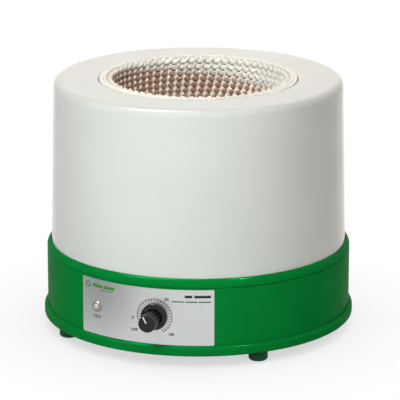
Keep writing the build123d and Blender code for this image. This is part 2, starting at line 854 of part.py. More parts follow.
board_screw_head = 2.8
board_head_height = 1.8
with BuildPart() as board_screws:
    with BuildSketch(Plane.XY.offset(board_top)) as board_heads:
        with GridLocations(*board_holes, 2, 2):
            Circle(board_screw_head)
    extrude(amount=board_head_height)
    with BuildSketch(Plane.XY.offset(board_top)) as board_shanks:
        with GridLocations(*board_holes, 2, 2):
            Circle(board_screw)
    extrude(amount=2.0 - (board_top - tray_floor))
save(board_screws, "board_screws")

sink_place = (-34.0, 18.0)
sink_size = (36.0, 20.0)
sink_height = 28.0
fin_count = 7
fin_thickness = 1.4
sink_base = 4.0
with BuildPart() as heat_sink:
    with BuildSketch(Plane.XY.offset(board_top)) as sink_outline:
        with Locations((sink_place[0], sink_place[1] - (sink_size[1] - sink_base) / 2)):
            Rectangle(sink_size[0], sink_base)
        with Locations(sink_place):
            with GridLocations((sink_size[0] - fin_thickness) / (fin_count - 1), 0, fin_count, 1):
                Rectangle(fin_thickness, sink_size[1])
    extrude(amount=sink_height)
save(heat_sink, "heat_sink")

# The triac stands against the flat side of its heat sink, with its legs in the board.
triac_face = sink_place[1] - sink_size[1] / 2
triac_bottom = board_top + 5.0
with BuildPart() as triac:
    with BuildSketch(Plane.XY.offset(triac_bottom)) as triac_outline:
        with Locations((sink_place[0], triac_face - 2.25)):
            Rectangle(10.2, 4.5)
    extrude(amount=9.2)
    with BuildSketch(Plane.XY.offset(triac_bottom + 9.2)) as triac_tab:
        with Locations((sink_place[0], triac_face - 0.65)):
            Rectangle(10.2, 1.3)
    extrude(amount=6.2)
    with BuildSketch(Plane.XY.offset(triac_bottom)) as triac_legs:
        with Locations((sink_place[0], triac_face - 2.4)):
            with GridLocations(2.54, 0, 3, 1):
                Rectangle(0.8, 0.5)
    extrude(amount=board_top - triac_bottom)
save(triac, "triac")

choke_place = (30.0, 18.0)
choke_radius = 9.5
choke_wire = 4.0
with BuildPart() as choke:
    with BuildSketch(Plane.XZ.offset(-choke_place[1])) as choke_section:
        with Locations((choke_place[0] + choke_radius, board_top + choke_wire)):
            Circle(choke_wire)
    revolve(axis=Axis((*choke_place, 0), (0, 0, 1)))
save(choke, "choke")

with BuildPart() as capacitor:
    with BuildSketch(Plane.XY.offset(board_top)) as capacitor_outline:
        with Locations((30.0, -12.0)):
            RectangleRounded(26.0, 10.0, 1.0)
    extrude(amount=18.0)
save(capacitor, "capacitor")

fuse_place = (-26.0, -26.0)
fuse_radius = 2.6
fuse_length = 20.0
fuse_height = 5.5
clip_offset = 7.0
fuse_plane = Plane(
    origin=(fuse_place[0] - fuse_length / 2, fuse_place[1], board_top + fuse_height),
    x_dir=(0, 1, 0),
    z_dir=(1, 0, 0),
)
with BuildPart() as fuse_tube:
    with BuildSketch(fuse_plane) as fuse_outline:
        Circle(fuse_radius)
    extrude(amount=fuse_length)
save(fuse_tube, "fuse_tube")

with BuildPart() as fuse_clips:
    for side_sign in (-1, 1):
        with BuildSketch(Plane.XY.offset(board_top)) as clip_outline:
            with Locations((fuse_place[0] + side_sign * clip_offset, fuse_place[1])):
                Rectangle(5.0, 6.4)
        extrude(amount=fuse_height + 1.5)
    with BuildSketch(fuse_plane) as clip_bore:
        Circle(fuse_radius + 0.05)
    extrude(amount=fuse_length, mode=Mode.SUBTRACT)
save(fuse_clips, "fuse_clips")

block_size = (26.0, 10.0)
block_height = 12.0
with BuildPart() as terminal_block:
    with BuildSketch(Plane.XY.offset(board_top)) as block_outline:
        RectangleRounded(*block_size, 0.8)
    extrude(amount=block_height)
    with BuildSketch(Plane.XY.offset(board_top + block_height)) as block_holes:
        with GridLocations(lead_spacing, 0, 2, 1):
            Circle(lead_bore)
    extrude(amount=-block_height / 2, mode=Mode.SUBTRACT)
save(terminal_block, "terminal_block")

# Two stiff leads run straight up from the terminal block, through the ceramic bush
# and the channel in the wool, to the underside of the pocket.
lead_top = pocket_centre - pocket_radius - knit_thickness - 1.0
with BuildPart() as heater_leads:
    with BuildSketch(Plane.XY.offset(board_top + block_height / 2)) as lead_outlines:
        with GridLocations(lead_spacing, 0, 2, 1):
            Circle(lead_radius)
    extrude(amount=lead_top - board_top - block_height / 2)
save(heater_leads, "heater_leads")
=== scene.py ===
# %% [markdown]
# # A heating mantle for a round flask
#
# A heating mantle is an electric nest for a round-bottom flask. A white enamelled shell
# holds a pocket knitted from glass yarn, with the heating tape behind it, and a green
# enamelled base holds the power control. The machined and spun parts come from the CAD
# frame. This lesson gives them their finishes, and makes the parts that CAD can't show
# well: the yarn of the pocket, its soft rim and the print on the panel.
#
# The frame is loaded first.

import bpy
import numpy as np
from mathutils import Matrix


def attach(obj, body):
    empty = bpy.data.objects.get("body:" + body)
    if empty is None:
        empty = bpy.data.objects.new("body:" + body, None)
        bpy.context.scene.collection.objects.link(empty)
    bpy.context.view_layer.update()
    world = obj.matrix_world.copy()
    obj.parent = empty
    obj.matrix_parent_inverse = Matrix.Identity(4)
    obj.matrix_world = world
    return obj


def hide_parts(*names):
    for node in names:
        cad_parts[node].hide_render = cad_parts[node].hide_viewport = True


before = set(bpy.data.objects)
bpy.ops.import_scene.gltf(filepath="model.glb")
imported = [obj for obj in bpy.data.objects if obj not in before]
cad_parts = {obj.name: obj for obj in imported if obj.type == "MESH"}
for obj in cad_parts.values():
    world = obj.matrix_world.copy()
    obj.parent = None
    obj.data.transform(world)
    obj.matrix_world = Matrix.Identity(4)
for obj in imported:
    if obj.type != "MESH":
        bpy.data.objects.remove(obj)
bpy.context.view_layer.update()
print("CAD nodes:", len(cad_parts))

# %% [markdown]
# ## Sizes
#
# Lengths are written in millimetres, as on a drawing, and turned to Blender's metres when
# a mesh is made. An angle round the mantle is counted from its front, the side with the
# panel, and grows to the right. The radii and heights below are those of the CAD parts
# that the new pieces touch.

# %% Sizes of the parts that the new pieces meet
MM = 0.001
POCKET_CENTRE = 248.0  # height of the middle of the pocket's half sphere
YARN_SPHERE = 88.0  # radius of the sphere that the courses of yarn lie on
PANEL_RADIUS = 151.5
TURN = 2 * np.pi
print("widest course of yarn in mm:", 2 * YARN_SPHERE)


# %% [markdown]
# ## Colours
#
# Colours are written as a designer writes them, in sRGB hex. Blender's shaders work with
# linear light, so one function turns each hex value to linear.


# %% Turn a hex colour to linear light
def paint(colour):
    """Linear RGBA of an sRGB hex colour: each channel to the power 2.4 above its toe."""
    channels = np.array([int(colour[k : k + 2], 16) for k in (1, 3, 5)]) / 255
    linear = np.where(channels > 0.04045, ((channels + 0.055) / 1.055) ** 2.4, channels / 12.92)
    return (*(float(value) for value in linear), 1.0)


print("mid grey in linear light:", [round(value, 3) for value in paint("#808080")])


# %% [markdown]
# ## Adding shader nodes
#
# A finish is a small graph of nodes. One function adds a node, sets it and links it, so
# that each finish below reads as a list of its nodes.


# %% Add a shader node
def add_node(tree, kind, inputs=None, **settings):
    """Adds a shader node. Inputs are its sockets, each given a value or another node's
    output, and settings are its other properties."""
    node = tree.nodes.new("ShaderNode" + kind)
    for name, value in settings.items():
        setattr(node, name, value)
    for socket, value in (inputs or {}).items():
        if isinstance(value, bpy.types.NodeSocket):
            tree.links.new(value, node.inputs[socket])
        else:
            node.inputs[socket].default_value = value
    return node


def new_finish(name, colour, roughness, **sockets):
    """A material with one Principled shader, and the shader. Sockets are its other
    values, named with _ for a space."""
    material = bpy.data.materials.new(name)
    material.use_nodes = True
    shader = material.node_tree.nodes["Principled BSDF"]
    shader.inputs["Base Color"].default_value = paint(colour)
    shader.inputs["Roughness"].default_value = roughness
    for socket, value in sockets.items():
        shader.inputs[socket.replace("_", " ")].default_value = value
    return material, shader


# %% [markdown]
# ## Two things that most surfaces show
#
# Paint, plastic and metal are never quite even. Two patterns cover most of that: a relief
# that bends the reflections, such as the orange peel of enamel or the grain of a cast
# part, and a slow drift between two shades of the colour. Both read the Object
# coordinates, which are the real size of the part in metres, so a wave of some
# millimetres is a noise scale of 1000 divided by that size.


# %% Relief and drifting colour
def add_relief(material, shader, wave, depth, stretch=(1.0, 1.0, 1.0)):
    """Bumps the shader's normal with noise waves of some mm, depth mm high. Stretch
    multiplies the coordinates, so a small number draws the waves out along that axis."""
    tree = material.node_tree
    place = add_node(tree, "TexCoord")
    sized = add_node(tree, "Mapping", {"Vector": place.outputs["Object"], "Scale": stretch})
    noise = {"Vector": sized.outputs[0], "Scale": 1 / (wave * MM), "Detail": 3.0}
    waves = add_node(tree, "TexNoise", noise)
    bump = add_node(tree, "Bump", {"Height": waves.outputs[0], "Distance": depth * MM})
    tree.links.new(bump.outputs[0], shader.inputs["Normal"])


def add_drift(material, shader, first, second, wave, stretch=(1.0, 1.0, 1.0)):
    """Lets the base colour drift between two hex colours over patches of some mm."""
    tree = material.node_tree
    place = add_node(tree, "TexCoord")
    sized = add_node(tree, "Mapping", {"Vector": place.outputs["Object"], "Scale": stretch})
    noise = {"Vector": sized.outputs[0], "Scale": 1 / (wave * MM), "Detail": 4.0}
    patches = add_node(tree, "TexNoise", noise)
    limits = {"Value": patches.outputs[0], "From Min": 0.3, "From Max": 0.7}
    evened = add_node(tree, "MapRange", limits)
    colours = {0: evened.outputs[0], 6: paint(first), 7: paint(second)}
    mixed = add_node(tree, "Mix", colours, data_type="RGBA")
    tree.links.new(mixed.outputs[2], shader.inputs["Base Color"])


def dress(material, *names):
    """Gives a finish to CAD nodes."""
    for name in names:
        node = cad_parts[name]
        node.data.materials.clear()
        node.data.materials.append(material)


# %% [markdown]
# ## White enamel of the upper shell
#
# The shell is one spun sheet of steel under stoved white enamel. The enamel flows while it
# is hot, so it is smooth and glossy with a faint orange peel, waves of about 3 mm that are
# a few thousandths of a millimetre high. They make a lamp's streak on the shoulder waver
# slightly. The specular level is set below that of real enamel, to keep the white shell
# from washing out under the lamps of this scene.

# %% Stoved white enamel
white_enamel, shader = new_finish("stoved_white_enamel", "#E6E7E5", 0.09, Specular_IOR_Level=0.2)
add_drift(white_enamel, shader, "#E7E8E6", "#E3E5E3", 60)
add_relief(white_enamel, shader, 3.0, 0.004)
dress(white_enamel, "shell_top", "shell_side")

# %% [markdown]
# ## Green enamel of the base
#
# The base is rolled from sheet too, in a deep green enamel. Its pigment swallows red light
# almost wholly. Real enamel has a clear skin that mirrors white. That skin is left out
# here and a little metal stands in for it, which tints the reflections green: in this
# white room the skin would wash out the edges of the drum. Under other lamps the base
# looks less glossy than real enamel, and a specular level of 0.5 gives the skin back.

# %% Stoved green enamel
green_enamel, shader = new_finish(
    "stoved_green_enamel", "#0A8438", 0.14, Metallic=0.09, Specular_IOR_Level=0.0
)
add_drift(green_enamel, shader, "#0A8739", "#097F36", 45)
add_relief(green_enamel, shader, 3.0, 0.006)
dress(green_enamel, "collar_ring", "base_wall", "bottom_tray")

# %% [markdown]
# ## Rubber of the feet
#
# The feet are moulded rubber, dark green, matt and a little dusty. The mould was blasted,
# so the skin has a fine grain. Rubber scatters light widely, and the grain keeps any
# highlight dull.

# %% Moulded rubber
rubber, shader = new_finish("moulded_green_rubber", "#12492A", 0.62, Specular_IOR_Level=0.25)
add_drift(rubber, shader, "#144F2D", "#0F4125", 6)
add_relief(rubber, shader, 0.6, 0.03)
feet = ("front_left", "front_right", "rear_left", "rear_right")
dress(rubber, *("rubber_foot_" + place for place in feet))

# %% [markdown]
# ## Silver panel
#
# The panel is a thin aluminium plate with a brushed, lacquered face. The brush runs along
# the panel, so the scratches are long across the front and fine from top to bottom, and
# they spread reflections up and down. The real scratches are about 0.05 mm apart. They are
# drawn 0.8 mm apart here, as coarse as they need to be to show.

# %% Brushed and lacquered aluminium
brushed, shader = new_finish(
    "brushed_lacquered_aluminium", "#CDD0CF", 0.32, Metallic=0.9, Anisotropic=0.4
)
add_drift(brushed, shader, "#D0D3D2", "#CCCFCE", 0.8, (0.02, 0.02, 1.0))
add_relief(brushed, shader, 0.8, 0.0015, (0.02, 0.02, 1.0))
dress(brushed, "control_panel")

# %% [markdown]
# ## Ink of the dial
#
# The dial is screen printed. The ink lies flat and dull on the bright metal, which is what
# makes the fine ticks readable.

# %% Screen ink
black_ink, shader = new_finish("black_screen_ink", "#26282A", 0.55, Specular_IOR_Level=0.3)
add_drift(black_ink, shader, "#2A2C2E", "#202224", 2)
green_ink, shader = new_finish("green_screen_ink", "#3E8A2E", 0.55, Specular_IOR_Level=0.3)
add_drift(green_ink, shader, "#43902F", "#378029", 2)
dress(black_ink, "printed_dial")

# %% [markdown]
# ## Knob
#
# The knob is moulded in glossy black plastic, with a white inlay for its line. A polished
# mould leaves the surface mirror smooth, so the knob is read from its highlights: one on
# every flute and one along the rim of the skirt.

# %% Polished black plastic and white inlay
knob_plastic, shader = new_finish("polished_black_abs", "#0D0D0F", 0.16, Specular_IOR_Level=0.35)
add_drift(knob_plastic, shader, "#0F0F11", "#0B0B0D", 8)
add_relief(knob_plastic, shader, 2.5, 0.004)
dress(knob_plastic, "control_knob")
inlay, shader = new_finish("white_inlay_paint", "#F1F1EF", 0.4)
add_drift(inlay, shader, "#F4F4F2", "#EBEBE8", 2)
dress(inlay, "knob_pointer")

# %% [markdown]
# ## Lamp
#
# The lamp's bezel is turned brass with nickel plate, and the lens is clouded acrylic, so
# that the whole lens glows when the lamp is lit. Unlit it is a dull grey bead with a soft
# shine.

# %% Nickel plate and clouded acrylic
nickel, shader = new_finish("nickel_plate", "#ACA9A4", 0.25, Metallic=1.0)
add_relief(nickel, shader, 1.2, 0.002)
dress(
    nickel, "lamp_holder", "inlet_pins", "inlet_tabs", "fuse_clips",
    "potentiometer_bush", "potentiometer_can", "potentiometer_nut",
)
acrylic, shader = new_finish("clouded_acrylic", "#C4BEBB", 0.3, Specular_IOR_Level=0.35)
add_drift(acrylic, shader, "#C9C3C0", "#BDB7B4", 3)
dress(acrylic, "lamp_lens")

# %% [markdown]
# ## Parts inside and behind
#
# The other parts are seen from the back, from below, or when the mantle is taken apart.
# Each row of the table is a finish: its colours, roughness and metal, then the size and
# height of its grain in millimetres, then the nodes that have it. Zinc plate is satin,
# rolled aluminium shows long rolling lines, ceramic is fired and dry, wool is a soft mass
# of fibres, moulded plastics have a fine grain, and enamelled copper is glossy.

# %% Finishes of the other parts
OTHER_FINISHES = {
    "zinc_plated_steel": (
        "#B9BCBC", "#A9ADAD", 0.34, 1.0, 0.8, 0.006,
        ("foot_screws", "support_posts", "shell_screws", "knob_set_screw", "board_screws",
         "potentiometer_shaft", "potentiometer_washer", "lamp_nut"),
    ),
    "rolled_aluminium": ("#C4C6C8", "#B8BABC", 0.38, 1.0, 1.5, 0.004, ("heat_shield", "heat_sink")),
    "turned_brass": (
        "#C7A35A", "#B8924A", 0.28, 1.0, 0.6, 0.004,
        ("knob_insert", "earth_stud", "earth_nut", "board_standoffs"),
    ),
    "fired_steatite": ("#E4DDCB", "#D9D1BC", 0.75, 0.0, 0.9, 0.03, ("ceramic_bush",)),
    "mineral_wool": ("#C9B98A", "#B5A474", 0.95, 0.0, 4.0, 1.2, ("insulation_wool",)),
    "woven_glass_cloth": (
        "#E2DED2", "#D2CCBC", 0.8, 0.0, 0.7, 0.12, ("glass_cloth_liner", "heater_leads"),
    ),
    "woven_heating_tape": ("#8A6A50", "#755640", 0.8, 0.0, 0.9, 0.15, ("heating_tape",)),
    "phenolic_laminate": ("#6B4524", "#5C3A1D", 0.45, 0.0, 0.7, 0.01, ("potentiometer_wafer",)),
    "neon_lamp_glass": ("#D8B8A4", "#CFAE9A", 0.08, 0.0, 2.0, 0.002, ("lamp_bulb",)),
    "moulded_black_nylon": ("#1B1B1C", "#151516", 0.42, 0.0, 0.5, 0.015, ("mains_inlet", "triac")),
    "glass_epoxy_board": ("#1E5A34", "#194E2C", 0.35, 0.0, 0.8, 0.006, ("control_board",)),
    "enamelled_copper": ("#A5602E", "#8F5023", 0.25, 1.0, 1.0, 0.08, ("choke",)),
    "dipped_yellow_film": ("#C9A227", "#BC951F", 0.3, 0.0, 3.0, 0.02, ("capacitor",)),
    "fuse_glass": ("#D5DAD8", "#C9CECC", 0.06, 0.0, 3.0, 0.002, ("fuse_tube",)),
    "moulded_green_polyamide": ("#1F7A3A", "#1A6C32", 0.4, 0.0, 0.5, 0.012, ("terminal_block",)),
}
for name, (light, dark, roughness, metal, wave, depth, names) in OTHER_FINISHES.items():
    material, shader = new_finish(name, light, roughness, Metallic=metal)
    add_drift(material, shader, light, dark, 8 * wave)
    add_relief(material, shader, wave, depth)
    dress(material, *names)
print("finishes so far:", len(bpy.data.materials))


# %% [markdown]
# ## From a grid of points to a mesh
#
# Every new piece is a surface worked out with numpy: a grid of points with rows along one
# parameter and columns along the other. Where a direction is closed, the last row or
# column joins the first. A piece can be made of several grids. Each gets UVs in
# millimetres, so that a weave keeps its size, and a heat value at each point, which the
# yarn's finish reads. Points that fall together, at a pole or an end, are merged.


# %% Make a mesh from grids
import bmesh


def round_grid(points, close_rows=True, close_columns=True, heat=0.0, size=(1.0, 1.0)):
    """One grid: its points in mm, which directions are closed, the heat at its points,
    and the step in mm of the UVs along rows and columns."""
    return {
        "points": points, "rows": close_rows, "columns": close_columns, "size": size,
        "heat": np.broadcast_to(heat, points.shape[:2]),
    }


def make_piece(name, grids, material):
    """Puts grids into one mesh of quads: corner (i, j) joins (i+1, j), (i+1, j+1) and
    (i, j+1), with the indices wrapped where the grid is closed."""
    corners, uvs, start = [], [], 0
    for grid in grids:
        rows, columns = grid["points"].shape[:2]
        i = np.arange(rows - (not grid["rows"]))[:, None, None] + np.array([0, 1, 1, 0])
        j = np.arange(columns - (not grid["columns"]))[None, :, None] + np.array([0, 0, 1, 1])
        i, j = np.broadcast_arrays(i, j)
        corners.append((start + (i % rows) * columns + j % columns).reshape(-1, 4))
        uvs.append(np.stack([i * grid["size"][0], j * grid["size"][1]], -1).reshape(-1, 2))
        start += rows * columns
    points = np.concatenate([grid["points"].reshape(-1, 3) for grid in grids]) * MM
    mesh = bpy.data.meshes.new(name)
    mesh.from_pydata(points, [], np.concatenate(corners))
    mesh.uv_layers.new(name="size_mm").data.foreach_set("uv", np.concatenate(uvs).ravel())
    heat = np.concatenate([grid["heat"].ravel() for grid in grids])
    mesh.attributes.new("heating", "FLOAT", "POINT").data.foreach_set("value", heat)
    shaped = bmesh.new()
    shaped.from_mesh(mesh)
    bmesh.ops.remove_doubles(shaped, verts=shaped.verts, dist=0.001 * MM)
    volume = shaped.calc_volume(signed=True)
    if volume < 0:
        bmesh.ops.reverse_faces(shaped, faces=shaped.faces)
    shaped.to_mesh(mesh)
    shaped.free()
    mesh.shade_smooth()
    mesh.materials.append(material)
    piece = bpy.data.objects.new(name, mesh)
    bpy.context.scene.collection.objects.link(piece)
    print(name, "faces:", len(mesh.polygons), "volume in ml:", round(abs(volume) * 1e6, 1))
    return piece


# %% [markdown]
# ## Glass yarn
#
# The pocket is knitted from glass yarn, which stays white where it is cool. Heat has
# turned the yarn over the heating tape brown, and less so near the mouth. Glass fibre has
# a silky shine, so the yarn is not quite matt, and its fibres run along it: about 0.3 mm
# apart, drawn 0.6 mm apart so that they show. The UVs along the yarn carry them.


# %% Glass yarn, cool and heated
FIBRE_SCALE = (0.15, 1.6, 1.0)  # noise waves in a mm, along the yarn and round it


def yarn_finish(name, cool, warm, heated, roughness):
    """Yarn whose colour goes from cool through warm to heated with the heat at each point,
    darker in the grooves between its fibres, as painted shade."""
    material, shader = new_finish(name, cool, roughness, Specular_IOR_Level=0.35, Sheen_Weight=0.45)
    tree = material.node_tree
    heat = add_node(tree, "Attribute", attribute_name="heating")
    tone = add_node(tree, "ValToRGB", {0: heat.outputs["Fac"]})
    tone.color_ramp.elements.new(0.4)
    for stop, colour in zip(tone.color_ramp.elements, (cool, warm, heated)):
        stop.color = paint(colour)
    sized = add_node(tree, "UVMap", uv_map="size_mm")
    drawn = add_node(tree, "Mapping", {"Vector": sized.outputs[0], "Scale": FIBRE_SCALE})
    fibres = add_node(tree, "TexNoise", {"Vector": drawn.outputs[0], "Scale": 1.0, "Detail": 2.0})
    # The colour is darkened by up to 8 % in the grooves between the fibres: painted shade.
    painted_groove_shade = add_node(tree, "MapRange", {0: fibres.outputs[0], 1: 0.3, 2: 0.7, 3: 0.92, 4: 1.0})
    shaded = {0: 1.0, 6: tone.outputs[0], 7: painted_groove_shade.outputs[0]}
    dark = add_node(tree, "Mix", shaded, data_type="RGBA", blend_type="MULTIPLY")
    tree.links.new(dark.outputs[2], shader.inputs["Base Color"])
    bump = add_node(tree, "Bump", {"Height": fibres.outputs[0], "Distance": 0.25 * MM})
    tree.links.new(bump.outputs[0], shader.inputs["Normal"])
    return material


heated_yarn = yarn_finish("heated_glass_yarn", "#FDFDF8", "#CFCBC3", "#976F5B", 0.42)
cool_yarn = yarn_finish("cool_glass_yarn", "#FCFAF4", "#FAF6EE", "#F6E8DA", 0.4)
# The backing cloth's colours are painted shade, dark for the shade between the stitches.
shade_painted_cloth = yarn_finish("shade_painted_glass_cloth", "#A09A8F", "#4A4039", "#2A1A12", 0.7)

# %% [markdown]
# ## Courses of the pocket
#
# In the knit, a thick yarn and a thin white one twist round each other along every
# course, so the thick one comes to the front once in every stitch, as a slanted lump.
# Loops could be knitted stitch by stitch, but in the pocket only their fronts show. Two
# strands twisted along level circles give the same lumps and need far fewer faces.
#
# A course is a circle at one dip under the mouth, seen from the middle of the half
# sphere. While a strand goes round it, its centre also turns about the course: outwards
# and downwards by small amounts, once in every stitch.


# %% Strand twisted along a circle
def outward(angle):
    """Level unit vectors at angles round the mantle, 0 to the front, positive to the right."""
    return np.stack([np.sin(angle), -np.cos(angle), np.zeros_like(angle)], -1)


def along(angle):
    """Level unit vectors that point round the mantle, towards growing angles."""
    return np.stack([np.cos(angle), np.sin(angle), np.zeros_like(angle)], -1)


def twisted_strand(radius, height, dip, stitches, phase, swing, thickness, swell=0.0, lag=0.0):
    """A tube of some thickness in mm whose centre turns about a level circle. With angle
    a round the mantle and twist t = stitches * a + phase, the centre is the circle's
    point plus swing[0] * cos t along the line from the pocket's middle and swing[1] *
    sin (t + lag) at right angles to it. The tube is swept square to that path, and it is
    1 - swell * cos t times its thickness, so it swells where it comes to the front."""
    steps, sides = 8, 6
    angle = np.linspace(0, TURN, abs(stitches) * steps, endpoint=False)
    twist = stitches * angle + phase
    out, level = outward(angle), along(angle)
    up = np.array([0.0, 0.0, 1.0])
    away = np.cos(dip) * out - np.sin(dip) * up
    down = -np.sin(dip) * out - np.cos(dip) * up
    far, low = swing[0] * np.cos(twist)[:, None], swing[1] * np.sin(twist + lag)[:, None]
    centre = radius * out + height * up + far * away + low * down
    far_rate = -swing[0] * np.sin(twist)[:, None]
    low_rate = swing[1] * np.cos(twist + lag)[:, None]
    path = radius * level + stitches * (far_rate * away + low_rate * down)
    path /= np.linalg.norm(path, axis=1, keepdims=True)
    first = away - np.sum(away * path, 1, keepdims=True) * path
    first /= np.linalg.norm(first, axis=1, keepdims=True)
    second = np.cross(path, first)
    turn = np.linspace(0, TURN, sides, endpoint=False)[None, :, None]
    ring = np.cos(turn) * first[:, None] + np.sin(turn) * second[:, None]
    girth = thickness * (1 - swell * np.cos(twist))[:, None, None]
    return centre[:, None] + girth * ring, angle


print("strand points:", twisted_strand(88, 200, 0.5, 64, 0, (1, 1), 1)[0].shape)

# %% [markdown]
# The heat value at a point grows with its dip. It starts lower at the right and at the
# back, where the yarn is white for about two courses, than at the left, where it is
# brown from the mouth on. No part of a real pocket fixes these numbers: they are given
# here and can be changed freely.

# %% The pocket's courses
COURSE_STEP = 6.0 / YARN_SPHERE  # 6 mm from course to course, as an angle
FIRST_DIP = np.radians(1.4)
COURSES = 23
TOP_STITCHES, LEAST_STITCHES = 64, 5
STITCH = 7.0  # least length of a stitch in mm
COURSE_LEAN = 0.9  # how far the twist starts later in each course, in radians
# A strand's twist at the start, its swing out and down in mm, thickness, swell and lag
THICK_STRAND = (0.0, (1.1, 0.5), 1.85, 0.42, 0.0)
THIN_STRAND = (np.pi, (1.9, 2.9), 1.35, 0.2, 1.0)
WHITE_SIDE = np.radians(135)  # where most courses are white, right and back
WHITE_MEAN, WHITE_SWING = 0.3, 2.1  # white courses all round, and more or less by side
BROWNING = 2.2  # courses from white to brown


def heat_at(dip, angle):
    """0 where the yarn is white and 1 where it is brown: the dip in courses less the
    number of white courses, which is 2.4 to the right at the back and none opposite."""
    white = WHITE_MEAN + WHITE_SWING * np.cos(angle - WHITE_SIDE)
    return np.clip((dip / COURSE_STEP - white) / BROWNING, 0, 1)


thick_grids, thin_grids = [], []
for course in range(COURSES):
    dip = FIRST_DIP + course * COURSE_STEP
    radius, height = YARN_SPHERE * np.cos(dip), POCKET_CENTRE - YARN_SPHERE * np.sin(dip)
    stitches = min(TOP_STITCHES, max(LEAST_STITCHES, round(TURN * radius / STITCH)))
    phase = course * COURSE_LEAN
    for grids, strand in ((thick_grids, THICK_STRAND), (thin_grids, THIN_STRAND)):
        start, swing, thickness, swell, lag = strand
        points, angle = twisted_strand(
            radius, height, dip, -stitches, phase + start, swing, thickness, swell, lag
        )
        heat = heat_at(dip, angle)[:, None]
        grids.append(round_grid(points, heat=heat, size=(TURN * radius / len(angle), 2.0)))
BOTTOM_RING = 1.5  # radius of the ring, and of its yarn, that closes the bottom
points, angle = twisted_strand(
    BOTTOM_RING, POCKET_CENTRE - YARN_SPHERE, np.pi / 2, LEAST_STITCHES, 0.0, (0.0, 0.0),
    BOTTOM_RING,
)
thick_grids.append(round_grid(points, heat=1.0))
thick_yarn = make_piece("knit_thick_yarn", thick_grids, heated_yarn)
thin_yarn = make_piece("knit_thin_yarn", thin_grids, cool_yarn)

# %% [markdown]
# ## Cloth behind the courses
#
# Between the stitches the eye meets the cloth that carries the heating tape, in deep
# shade. Its grey and brown colours are painted shade, darker than the cloth is, and
# darker the deeper it lies. It is a bowl: a profile of an inner and an outer quarter
# circle, 0.9 mm apart, turned about the mantle's axis and closed at both poles.


# %% Backing cloth
BACKING_INSIDE, BACKING_OUTSIDE = 89.0, 89.9  # radii of the cloth's two faces
BACKING_MIDDLE = 89.5  # radius that its heat is worked out on
BACKING_EDGE = 0.01  # dip of its upper edge, in radians


def turned(profile, count):
    """Points of a profile of (radius, height) in mm turned about the vertical axis."""
    angle = np.linspace(0, TURN, count, endpoint=False)
    rise = profile[None, :, 1:] * np.array([0.0, 0.0, 1.0])
    return profile[None, :, :1] * outward(angle)[:, None] + rise, angle


def quarter(radius, first, last, count):
    """Points (radius, height) of an arc about the pocket's middle, from dip to dip."""
    dip = np.linspace(first, last, count)
    return np.stack([radius * np.cos(dip), POCKET_CENTRE - radius * np.sin(dip)], -1)


bowl = np.concatenate([
    quarter(BACKING_INSIDE, np.pi / 2, BACKING_EDGE, 40),
    quarter(BACKING_OUTSIDE, BACKING_EDGE, np.pi / 2, 40),
])
points, angle = turned(bowl, 128)
dips = np.arcsin(np.clip((POCKET_CENTRE - bowl[:, 1]) / BACKING_MIDDLE, 0, 1))
heat = heat_at(dips[None, :], angle[:, None])
cloth = round_grid(points, close_columns=False, heat=heat, size=(4.3, 3.5))
backing = make_piece("backing_cloth", [cloth], shade_painted_cloth)

# %% [markdown]
# ## Rim of the mouth
#
# The knit is drawn over the pocket's edge and tucked under the shell's lip. There its
# courses are white and lie nearly flush with the shell's top. Two twisted rings make
# them, on a padded ring of cloth with a rounded profile, which shows in the gaps. The
# pad's light brown is painted shade, which darkens those gaps.

# %% White rim
RIM_RINGS = ((96.0, 247.9), (92.6, 248.4))
RIM_STITCH = 5.0
RIM_SWING, RIM_THICKNESS = (1.2, 1.1), 0.85
RIM_LEAN = 1.3  # how far the twist starts later in the second ring, in radians
PAD_RADIUS, PAD_HEIGHT = 92.6, 246.0  # the middle of the pad's profile
PAD_WIDE, PAD_HIGH = 5.3, 2.3  # half its width and half its height
rim_grids = []
for ring, (radius, height) in enumerate(RIM_RINGS):
    stitches = round(TURN * radius / RIM_STITCH)
    for start in (0.0, np.pi):
        phase = start + RIM_LEAN * ring
        points, angle = twisted_strand(
            radius, height, np.pi / 2, -stitches, phase, RIM_SWING, RIM_THICKNESS
        )
        rim_grids.append(round_grid(points, heat=0.2, size=(TURN * radius / len(angle), 1.2)))
rim_rope = make_piece("rim_yarn", rim_grids, cool_yarn)

turn = np.linspace(0, TURN, 24, endpoint=False)
bulge = np.stack([PAD_RADIUS + PAD_WIDE * np.cos(turn), PAD_HEIGHT + PAD_HIGH * np.sin(turn)], -1)
points, angle = turned(bulge, 128)
# The pad's heat of 0.55 gives it a light brown: painted shade for the gaps of the rim.
rim_pad = make_piece("rim_pad", [round_grid(points, heat=0.55, size=(4.5, 1.2))], heated_yarn)

for piece in (thick_yarn, thin_yarn, backing):
    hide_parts("knit_upper", "knit_middle", "knit_bottom")
for piece in (rim_rope, rim_pad):
    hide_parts("mouth_roll")
for piece in (thick_yarn, thin_yarn, backing, rim_rope, rim_pad):
    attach(piece, "mantle")


# %% [markdown]
# ## Print on the panel
#
# The panel carries a few printed marks: numbers round the dial, a sign for heat under the
# lamp, and plain bars. A mark is a flat shape in the panel's own plane, measured along
# the panel and up, and then wrapped round the base: the length along the panel divided by
# the radius is the angle. Letters start as Blender text, are made a mesh, and their
# points are wrapped in the same way.


# %% Wrap flat marks round the panel
INK = 0.05  # how far the ink stands off the panel


def wrap(flat):
    """Points (along, up, out) in mm on the panel, wrapped round the base."""
    radius = (PANEL_RADIUS + flat[..., 2])[..., None]
    return radius * outward(flat[..., 0] / PANEL_RADIUS) + flat[..., 1:2] * np.array([0.0, 0.0, 1.0])


